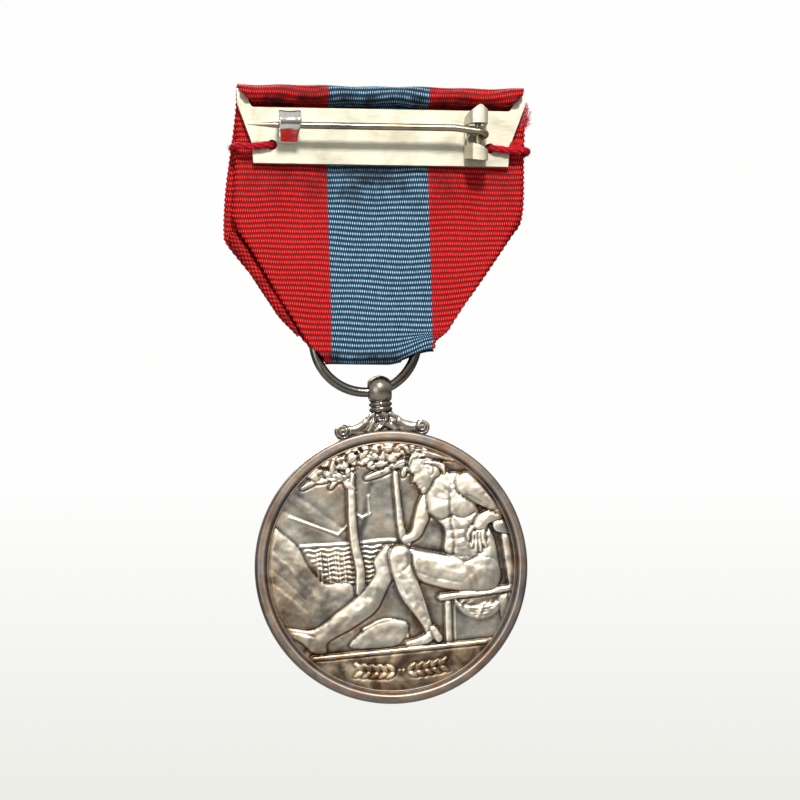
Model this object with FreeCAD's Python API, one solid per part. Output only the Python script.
"""A service medal on a folded ribbon, with the brooch that pins it to a coat.

Millimetres. The medal hangs upright: +Z is up, +X is to the right as the rear is looked at, and the pin side
(the rear) faces -Y. The origin is the centre of the brooch plate's rear face below its slot.
Each part is its own solid and is written to parts/NODE.step.
"""

import FreeCAD, Part
import math
import os

V = FreeCAD.Vector
X_AXIS, Y_AXIS, Z_AXIS = V(1, 0, 0), V(0, 1, 0), V(0, 0, 1)

# Brooch plate: a stamped trapezium with a long slot under its top bar. Half widths and heights.
PLATE_T = 0.8
PLATE_TOP, PLATE_BOTTOM = 5.5, -3.3
PLATE_HALF_TOP, PLATE_HALF_EAR, PLATE_HALF_KNEE, PLATE_HALF_BOTTOM = 17.1, 16.95, 15.3, 15.05
PLATE_EAR_Z, PLATE_KNEE_Z = 3.6, -0.8
SLOT_BOTTOM, SLOT_TOP = 3.3, 4.7
SLOT_HALF_BOTTOM, SLOT_HALF_TOP, SLOT_CORNER = 15.3, 16.0, 0.5
STITCH_HOLE_X, STITCH_HOLE_Z, STITCH_HOLE_R = 12.9, -1.15, 0.6

# Brooch pin: a sprung wire with a needle point and an eye wrapped round the hinge rivet.
PIN_R, PIN_Y, PIN_Z = 0.42, -2.6, 0.8
PIN_TIP_X, PIN_TAPER_X, PIN_NECK_X, PIN_SHAFT_X, PIN_BEND_X = -15.95, -12.8, -9.8, -9.3, 8.4
PIN_NECK_R, PIN_TAPER_R, PIN_POINT_R = 0.38, 0.36, 0.05
RIVET_R, RIVET_PLAY = 0.38, 0.06
HINGE_X, HINGE_Y = 11.25, -1.74
EYE_R = RIVET_R + RIVET_PLAY + PIN_R
EYE_PITCH, EYE_TURN, EYE_DROP = 0.95, 0.8, 0.35

# Hinge bracket: a folded box with its middle cut away for the eye.
BRACKET_X, BRACKET_HALF_X, BRACKET_DEPTH, SHEET_T = 11.1, 1.35, 2.75, 0.35
BRACKET_BOTTOM, BRACKET_TOP = -3.0, 3.05
EYE_GAP_BOTTOM, EYE_GAP_TOP = -1.0, 1.35
BRACKET_PEAK = 0.9

# Catch: a strip curled into a hook, open upwards, on a flat foot.
CATCH_X, CATCH_HALF_X = -11.0, 1.45
CATCH_Y, CATCH_Z, CATCH_R, CATCH_T = -2.0, 0.72, 1.75, 0.38
CATCH_FOOT_T, CATCH_FOOT_BOTTOM, CATCH_FOOT_TOP = 0.3, -0.45, 1.9
CATCH_LIP = 0.55

# Ribbon: one strip, 38 wide before it is folded. It goes down behind the plate, through the ring, up the
# front, over the top bar and back through the slot.
RIBBON_T = 0.4
REAR_Y, REAR_UPPER_Y, TUCK_Y, FRONT_Y = 1.0, 1.12, 1.9, 2.8
RIBBON_HALF = 17.0
REAR_CUT_Z, TUCK_END_Z, UPPER_END_Z = 2.6, -1.5, -3.8
WRAP_NEAR_Y, WRAP_TOP_Z = -0.75, 5.82
BEND_Z = -4.9

# Suspension ring.
RING_X, RING_Y, RING_Z = -1.7, 1.9, -23.9
RING_R, RING_WIRE_R = 6.12, 0.575

# Loop of ribbon that carries the ring.
LOOP_HALF, LOOP_Z = 4.5, -25.7
LOOP_R = FRONT_Y - RING_Y

# Medal, in its own frame: the origin is the ball's centre and the disc hangs below it.
BALL_R, BALL_ANGLE, MEDAL_TILT = 1.75, 15.9, 3.87
BALL_HOLE_R, BALL_HOLE_FLARE = 0.72, 0.33
COLLAR_TOP, COLLAR_BOTTOM, COLLAR_R, COLLAR_WAIST = -1.35, -2.55, 1.42, 1.12
FOOT_T, SCROLL_X, SCROLL_Z, SCROLL_R = 2.0, 4.7, -4.62, 0.85
FOOT_HALF_TOP, SHOULDER_X, SHOULDER_Z = 1.15, 2.05, -3.15
DOWEL_R, DOWEL_TOP, DOWEL_BOTTOM = 0.5, -3.3, -6.9
DISC_Z, DISC_R, DISC_T = -20.75, 16.0, 2.8
RIM_FLAT, RIM_BEVEL, RIM_INNER, FIELD_DROP = 0.55, 0.3, 0.55, 0.55

# Stitching that ties the ribbon's edges to the plate.
THREAD_R, THREAD_NEAR_Y, THREAD_FAR_Y, THREAD_X, THREAD_END_X = 0.35, -0.5, 3.45, 17.45, 14.0
THREAD_BEND = 0.5


def face_xz(points, y):
    """A flat face through (x, z) points, at depth y."""
    wire = Part.makePolygon([V(x, y, z) for x, z in points + points[:1]])
    return Part.Face(wire)


def slab_xz(points, y, depth):
    """A slab whose outline is (x, z) points, from y to y + depth."""
    return face_xz(points, y).extrude(V(0, depth, 0))


def mirrored(points):
    """Right-hand outline points, from top to bottom, closed by their mirror images."""
    return points + [(-x, z) for x, z in reversed(points)]


def strip_yz(path, thickness, x0, x1):
    """A sheet of that thickness whose middle follows (y, z) points, from x0 to x1."""
    half, wide = thickness / 2, x1 - x0
    pieces = []
    for (y0, z0), (y1, z1) in zip(path, path[1:]):
        long = math.hypot(y1 - y0, z1 - z0)
        ny, nz = -(z1 - z0) / long * half, (y1 - y0) / long * half
        corners = [(y0 + ny, z0 + nz), (y1 + ny, z1 + nz), (y1 - ny, z1 - nz), (y0 - ny, z0 - nz)]
        wire = Part.makePolygon([V(x0, y, z) for y, z in corners + corners[:1]])
        pieces.append(Part.Face(wire).extrude(V(wide, 0, 0)))
    for y, z in path[1:-1]:
        pieces.append(Part.makeCylinder(half, wide, V(x0, y, z), X_AXIS))
    return pieces[0].multiFuse(pieces[1:]).removeSplitter()


def tube(points, radius, bend):
    """A round tube along straight runs joined by tangent arcs of radius bend."""
    edges, start = [], points[0]
    for before, corner, after in zip(points, points[1:], points[2:]):
        back, on = (before - corner).normalize(), (after - corner).normalize()
        half_turn = (math.pi - back.getAngle(on)) / 2
        reach = bend * math.tan(half_turn)
        middle = (back + on).normalize() * (bend / math.cos(half_turn) - bend)
        first, last = corner + back * reach, corner + on * reach
        edges.append(Part.LineSegment(start, first).toShape())
        edges.append(Part.Arc(first, corner + middle, last).toShape())
        start = last
    edges.append(Part.LineSegment(start, points[-1]).toShape())
    section = Part.Wire([Part.Circle(points[0], points[1] - points[0], radius).toShape()])
    return Part.Wire(edges).makePipeShell([section], True, True)


def annulus_sector(centre_y, centre_z, outer, inner, start, sweep, x0, x1):
    """A curled strip: part of a ring about an axis along X, with angles from +Y towards +Z."""
    section = Part.makePolygon(
        [V(x0, centre_y + r, centre_z) for r in (inner, outer)]
        + [V(x1, centre_y + r, centre_z) for r in (outer, inner)]
        + [V(x0, centre_y + inner, centre_z)]
    )
    curl = Part.Face(section).revolve(V(0, centre_y, centre_z), X_AXIS, sweep)
    curl.rotate(V(0, centre_y, centre_z), X_AXIS, start)
    return curl


# ---------------------------------------------------------------- brooch


def brooch_plate():
    outline = mirrored(
        [
            (PLATE_HALF_TOP, PLATE_TOP),
            (PLATE_HALF_EAR, PLATE_EAR_Z),
            (PLATE_HALF_KNEE, PLATE_KNEE_Z),
            (PLATE_HALF_BOTTOM, PLATE_BOTTOM),
        ]
    )
    slot = slab_xz(mirrored([(SLOT_HALF_TOP, SLOT_TOP), (SLOT_HALF_BOTTOM, SLOT_BOTTOM)]), 0, PLATE_T)
    ends = [e for e in slot.Edges if abs(e.tangentAt(e.FirstParameter).y) > 0.99]
    slot = slot.makeFillet(SLOT_CORNER, ends)
    plate = slab_xz(outline, 0, PLATE_T).cut(slot)
    for side in (-1, 1):
        centre = V(side * STITCH_HOLE_X, 0, STITCH_HOLE_Z)
        plate = plate.cut(Part.makeCylinder(STITCH_HOLE_R, PLATE_T, centre, Y_AXIS))
    return plate


def bracket_tube():
    """The folded box of the bracket, before its middle is cut away."""
    low, high = BRACKET_X - BRACKET_HALF_X, BRACKET_X + BRACKET_HALF_X
    long = BRACKET_TOP - BRACKET_BOTTOM
    outer = Part.makeBox(2 * BRACKET_HALF_X, BRACKET_DEPTH, long, V(low, -BRACKET_DEPTH, BRACKET_BOTTOM))
    roof = [e for e in outer.Edges if e.CenterOfMass.y < -BRACKET_DEPTH + 0.01 and e.BoundBox.ZLength > 1]
    outer = outer.makeFillet(2 * SHEET_T, roof)
    inner_x, inner_y = 2 * (BRACKET_HALF_X - SHEET_T), BRACKET_DEPTH - 2 * SHEET_T
    inner = Part.makeBox(inner_x, inner_y, long, V(low + SHEET_T, -BRACKET_DEPTH + SHEET_T, BRACKET_BOTTOM))
    box = outer.cut(inner)
    peak_low = BRACKET_TOP - BRACKET_PEAK
    peak = [(low, peak_low), (BRACKET_X + SHEET_T, BRACKET_TOP), (high, peak_low), (high, 5), (low, 5)]
    return box.cut(slab_xz(peak, -BRACKET_DEPTH, BRACKET_DEPTH))


def pin_bracket():
    low = BRACKET_X - BRACKET_HALF_X
    gap = Part.makeBox(
        2 * BRACKET_HALF_X,
        BRACKET_DEPTH - SHEET_T,
        EYE_GAP_TOP - EYE_GAP_BOTTOM,
        V(low, -BRACKET_DEPTH, EYE_GAP_BOTTOM),
    )
    bracket = bracket_tube().cut(gap)
    ear_x, ear_y = 2 * (BRACKET_HALF_X - SHEET_T), BRACKET_DEPTH - 2 * SHEET_T
    for z in (EYE_GAP_TOP, EYE_GAP_BOTTOM - SHEET_T):
        corner = V(low + SHEET_T, -BRACKET_DEPTH + SHEET_T, z)
        bracket = bracket.fuse(Part.makeBox(ear_x, ear_y, SHEET_T, corner))
    return bracket.cut(hinge_rivet()).removeSplitter()


def hinge_rivet():
    """A plain rivet from ear to ear, with a low head inside each half of the bracket."""
    bottom, top = EYE_GAP_BOTTOM - SHEET_T, EYE_GAP_TOP + SHEET_T
    head_r, head_t = RIVET_R + 0.22, 0.2
    shank = Part.makeCylinder(RIVET_R, top - bottom, V(HINGE_X, HINGE_Y, bottom), Z_AXIS)
    for z in (top, bottom - head_t):
        shank = shank.fuse(Part.makeCylinder(head_r, head_t, V(HINGE_X, HINGE_Y, z), Z_AXIS))
    return shank.removeSplitter()


def pin_eye():
    """The end of the wire, wrapped round the rivet as a short helix that drops away from the shaft."""
    helix = Part.makeHelix(EYE_PITCH, EYE_PITCH * EYE_TURN, EYE_R)
    slope = math.atan2(EYE_PITCH, 2 * math.pi * EYE_R)
    section = Part.Circle(V(EYE_R, 0, 0), V(0, math.cos(slope), math.sin(slope)), PIN_R).toShape()
    eye = Part.Wire(helix).makePipeShell([Part.Wire([section])], True, True)
    eye.rotate(V(0, 0, 0), X_AXIS, 180)
    eye.rotate(V(0, 0, 0), Z_AXIS, -90)
    eye = eye.mirror(V(0, 0, 0), X_AXIS)
    eye.translate(V(HINGE_X, HINGE_Y, PIN_Z - EYE_DROP))
    return eye


def brooch_pin():
    def along(x0, x1, r0, r1):
        if r0 == r1:
            return Part.makeCylinder(r0, x1 - x0, V(x0, PIN_Y, PIN_Z), X_AXIS)
        return Part.makeCone(r0, r1, x1 - x0, V(x0, PIN_Y, PIN_Z), X_AXIS)

    eye_top = V(HINGE_X, HINGE_Y - EYE_R, PIN_Z - EYE_DROP)
    bend = V(PIN_BEND_X, PIN_Y, PIN_Z)
    run = eye_top - bend
    pieces = [
        Part.makeSphere(PIN_POINT_R, V(PIN_TIP_X, PIN_Y, PIN_Z)),
        along(PIN_TIP_X, PIN_TAPER_X, PIN_POINT_R, PIN_TAPER_R),
        along(PIN_TAPER_X, PIN_NECK_X, PIN_TAPER_R, PIN_NECK_R),
        along(PIN_NECK_X, PIN_SHAFT_X, PIN_NECK_R, PIN_R),
        along(PIN_SHAFT_X, PIN_BEND_X, PIN_R, PIN_R),
        Part.makeSphere(PIN_R, bend),
        Part.makeCylinder(PIN_R, run.Length, bend, run),
        Part.makeSphere(PIN_R, eye_top),
        pin_eye(),
    ]
    return pieces[0].multiFuse(pieces[1:]).removeSplitter()


def pin_catch():
    x0, x1 = CATCH_X - CATCH_HALF_X, CATCH_X + CATCH_HALF_X
    inner = CATCH_R - CATCH_T
    hook = annulus_sector(CATCH_Y, CATCH_Z, CATCH_R, inner, 90, 270, x0, x1)
    lip_low = V(x0, CATCH_Y, CATCH_Z + inner)
    lip = Part.makeBox(x1 - x0, CATCH_LIP, CATCH_T, lip_low)
    lip.rotate(lip_low, X_AXIS, 35)
    foot_high = CATCH_FOOT_TOP - CATCH_FOOT_BOTTOM
    foot = Part.makeBox(x1 - x0, CATCH_FOOT_T, foot_high, V(x0, -CATCH_FOOT_T, CATCH_FOOT_BOTTOM))
    return hook.multiFuse([lip, foot]).removeSplitter()


# ---------------------------------------------------------------- ribbon and stitching


def ribbon_top_wrap():
    """Up the front, over the top bar, back through the slot and down behind the plate."""
    middle_of_slot = (SLOT_BOTTOM + SLOT_TOP) / 2
    path = [
        (FRONT_Y, UPPER_END_Z),
        (FRONT_Y, 4.3),
        (2.2, 5.35),
        (1.0, WRAP_TOP_Z),
        (0.0, WRAP_TOP_Z),
        (WRAP_NEAR_Y, 5.2),
        (WRAP_NEAR_Y, 4.3),
        (-0.2, middle_of_slot),
        (1.1, middle_of_slot),
        (TUCK_Y, 3.2),
        (TUCK_Y, TUCK_END_Z),
    ]
    fits_slot = SLOT_HALF_BOTTOM - 0.2
    return strip_yz(path, RIBBON_T, -fits_slot, fits_slot)


def ribbon_rear_upper():
    path = [(REAR_UPPER_Y, REAR_CUT_Z), (REAR_UPPER_Y, UPPER_END_Z)]
    return strip_yz(path, RIBBON_T, -RIBBON_HALF, RIBBON_HALF)


def ribbon_rear_lower():
    """The rear layer below the plate: full width, then tapered to the ring, with one loose corner."""
    outline = [
        (17.0, BEND_Z),
        (16.9, -8.9),
        (15.6, -10.3),
        (6.86, -24.6),
        (4.6, -25.2),
        (RING_X + LOOP_HALF, LOOP_Z),
        (RING_X - LOOP_HALF, LOOP_Z),
        (-9.3, -23.6),
        (-17.0, -11.6),
        (-17.4, -8.9),
        (-17.0, BEND_Z),
    ]
    return slab_xz(outline, REAR_Y - RIBBON_T / 2, RIBBON_T)


def ribbon_front_lower():
    """The front layer below the plate, a little wider to the left than the rear one."""
    outline = [
        (16.9, BEND_Z),
        (16.9, -9.2),
        (15.2, -11.2),
        (5.5, -24.8),
        (RING_X + LOOP_HALF, LOOP_Z),
        (RING_X - LOOP_HALF, LOOP_Z),
        (-8.2, -25.0),
        (-17.9, -13.2),
        (-18.5, -11.8),
        (-18.1, BEND_Z),
    ]
    return slab_xz(outline, FRONT_Y - RIBBON_T / 2, RIBBON_T)


def ribbon_ring_loop():
    """The turn of ribbon that passes through the ring and carries it."""
    outer, inner = LOOP_R + RIBBON_T / 2, LOOP_R - RIBBON_T / 2
    return annulus_sector(RING_Y, LOOP_Z, outer, inner, 180, 180, RING_X - LOOP_HALF, RING_X + LOOP_HALF)


def stitch_thread(side):
    """Stitching out of the hole, round the ribbon's edges and onto the front of the ribbon."""
    z = STITCH_HOLE_Z
    points = [
        V(side * STITCH_HOLE_X, PLATE_T - 0.05, z),
        V(side * STITCH_HOLE_X, THREAD_NEAR_Y, z),
        V(side * THREAD_X, THREAD_NEAR_Y, z),
        V(side * THREAD_X, THREAD_FAR_Y, z),
        V(side * THREAD_END_X, THREAD_FAR_Y, z),
    ]
    return tube(points, THREAD_R, THREAD_BEND)


# ---------------------------------------------------------------- ring and medal


def suspension_ring():
    return Part.makeTorus(RING_R, RING_WIRE_R, V(RING_X, RING_Y, RING_Z), Y_AXIS)


def ball_place():
    """Where the ball sits on the ring."""
    angle = math.radians(BALL_ANGLE)
    return V(RING_X + RING_R * math.sin(angle), RING_Y, RING_Z - RING_R * math.cos(angle))


def hung(shape):
    """Carries a shape from the medal's own frame to where the medal hangs."""
    shape.rotate(V(0, 0, 0), Y_AXIS, -MEDAL_TILT)
    shape.translate(ball_place())
    return shape


def suspender_ball():
    ball = Part.makeSphere(BALL_R)
    for way in (-1, 1):
        mouth_r = BALL_HOLE_R + BALL_HOLE_FLARE * BALL_R
        ball = ball.cut(Part.makeCone(BALL_HOLE_R, mouth_r, BALL_R, V(0, 0, 0), V(way, 0, 0)))
    return ball


def neck_collar():
    """A turned collar with two beads, hollowed on top to seat the ball."""
    step = (COLLAR_TOP - COLLAR_BOTTOM) / 4
    collar = Part.makeCylinder(COLLAR_WAIST, COLLAR_TOP - COLLAR_BOTTOM, V(0, 0, COLLAR_BOTTOM))
    for n in (1, 3):
        collar = collar.fuse(Part.makeTorus(COLLAR_R - step, step * 0.8, V(0, 0, COLLAR_BOTTOM + n * step)))
    above = Part.makeBox(8, 8, 4, V(-4, -4, COLLAR_TOP))
    below = Part.makeBox(8, 8, 4, V(-4, -4, COLLAR_BOTTOM - 4))
    return collar.cut(above).cut(below).cut(Part.makeSphere(BALL_R)).removeSplitter()


def dowel():
    return Part.makeCylinder(DOWEL_R, DOWEL_TOP - DOWEL_BOTTOM, V(0, 0, DOWEL_BOTTOM))


def foot_half_edges(way):
    """The top edge of one half of the foot, from the neck out to the scroll and round its end."""
    scroll = V(way * SCROLL_X, 0, SCROLL_Z)

    def on_scroll(angle):
        return scroll + V(way * math.cos(angle), 0, math.sin(angle)) * SCROLL_R

    neck, shoulder = V(way * FOOT_HALF_TOP, 0, COLLAR_BOTTOM), V(way * SHOULDER_X, 0, SHOULDER_Z)
    hollow = V(way * (SHOULDER_X + 0.75), 0, SHOULDER_Z - 0.62)
    top, end, low = on_scroll(math.radians(100)), on_scroll(math.radians(0)), on_scroll(math.radians(-80))
    return [
        Part.Arc(neck, V(way * (SHOULDER_X - 0.15), 0, COLLAR_BOTTOM - 0.1), shoulder).toShape(),
        Part.Arc(shoulder, hollow, top).toShape(),
        Part.Arc(top, end, low).toShape(),
    ], low


def scroll_foot():
    """A cast foot with a scroll at each end, hollowed below to sit on the disc's edge."""
    right, right_low = foot_half_edges(1)
    left, left_low = foot_half_edges(-1)
    top = Part.LineSegment(V(-FOOT_HALF_TOP, 0, COLLAR_BOTTOM), V(FOOT_HALF_TOP, 0, COLLAR_BOTTOM)).toShape()
    base = Part.LineSegment(left_low, right_low).toShape()
    outline = Part.Wire(Part.__sortEdges__([top, base] + right + left))
    foot = Part.Face(outline).extrude(V(0, FOOT_T, 0))
    foot.translate(V(0, -FOOT_T / 2, 0))
    disc = Part.makeCylinder(DISC_R, DISC_T, V(0, -DISC_T / 2, DISC_Z), Y_AXIS)
    return foot.cut(disc).cut(dowel())


def medal_disc():
    """A struck disc: a rim with bevelled shoulders round a sunk field on each face."""
    half, field = DISC_T / 2, DISC_T / 2 - FIELD_DROP
    crest_out, crest_in = DISC_R - RIM_BEVEL, DISC_R - RIM_BEVEL - RIM_FLAT
    upper = [(0, field), (crest_in - RIM_INNER, field), (crest_in, half), (crest_out, half)]
    upper.append((DISC_R, half - RIM_BEVEL))
    section = upper + [(r, -y) for r, y in reversed(upper)]
    wire = Part.makePolygon([V(r, y, DISC_Z) for r, y in section + section[:1]])
    disc = Part.Face(wire).revolve(V(0, 0, DISC_Z), Y_AXIS, 360)
    return disc.cut(dowel())


PARTS = {
    "brooch_plate": brooch_plate,
    "pin_bracket": pin_bracket,
    "hinge_rivet": hinge_rivet,
    "brooch_pin": brooch_pin,
    "pin_catch": pin_catch,
    "ribbon_top_wrap": ribbon_top_wrap,
    "ribbon_rear_upper": ribbon_rear_upper,
    "ribbon_rear_lower": ribbon_rear_lower,
    "ribbon_front_lower": ribbon_front_lower,
    "ribbon_ring_loop": ribbon_ring_loop,
    "stitch_thread_left": lambda: stitch_thread(-1),
    "stitch_thread_right": lambda: stitch_thread(1),
    "suspension_ring": suspension_ring,
    "suspender_ball": lambda: hung(suspender_ball()),
    "neck_collar": lambda: hung(neck_collar()),
    "scroll_foot": lambda: hung(scroll_foot()),
    "foot_dowel": lambda: hung(dowel()),
    "medal_disc": lambda: hung(medal_disc()),
}


def main():
    os.makedirs("parts", exist_ok=True)
    for name, make in PARTS.items():
        shape = make()
        if shape.ShapeType != "Solid" and len(shape.Solids) == 1:
            shape = shape.Solids[0]
        shape.exportStep(os.path.join("parts", name + ".step"))
        box = shape.BoundBox
        print(
            f"{name:20s} solids {len(shape.Solids)} valid {shape.isValid()} volume {shape.Volume:9.2f}"
            f" x {box.XMin:7.2f} {box.XMax:7.2f} y {box.YMin:6.2f} {box.YMax:6.2f} z {box.ZMin:7.2f} {box.ZMax:7.2f}"
        )


main()
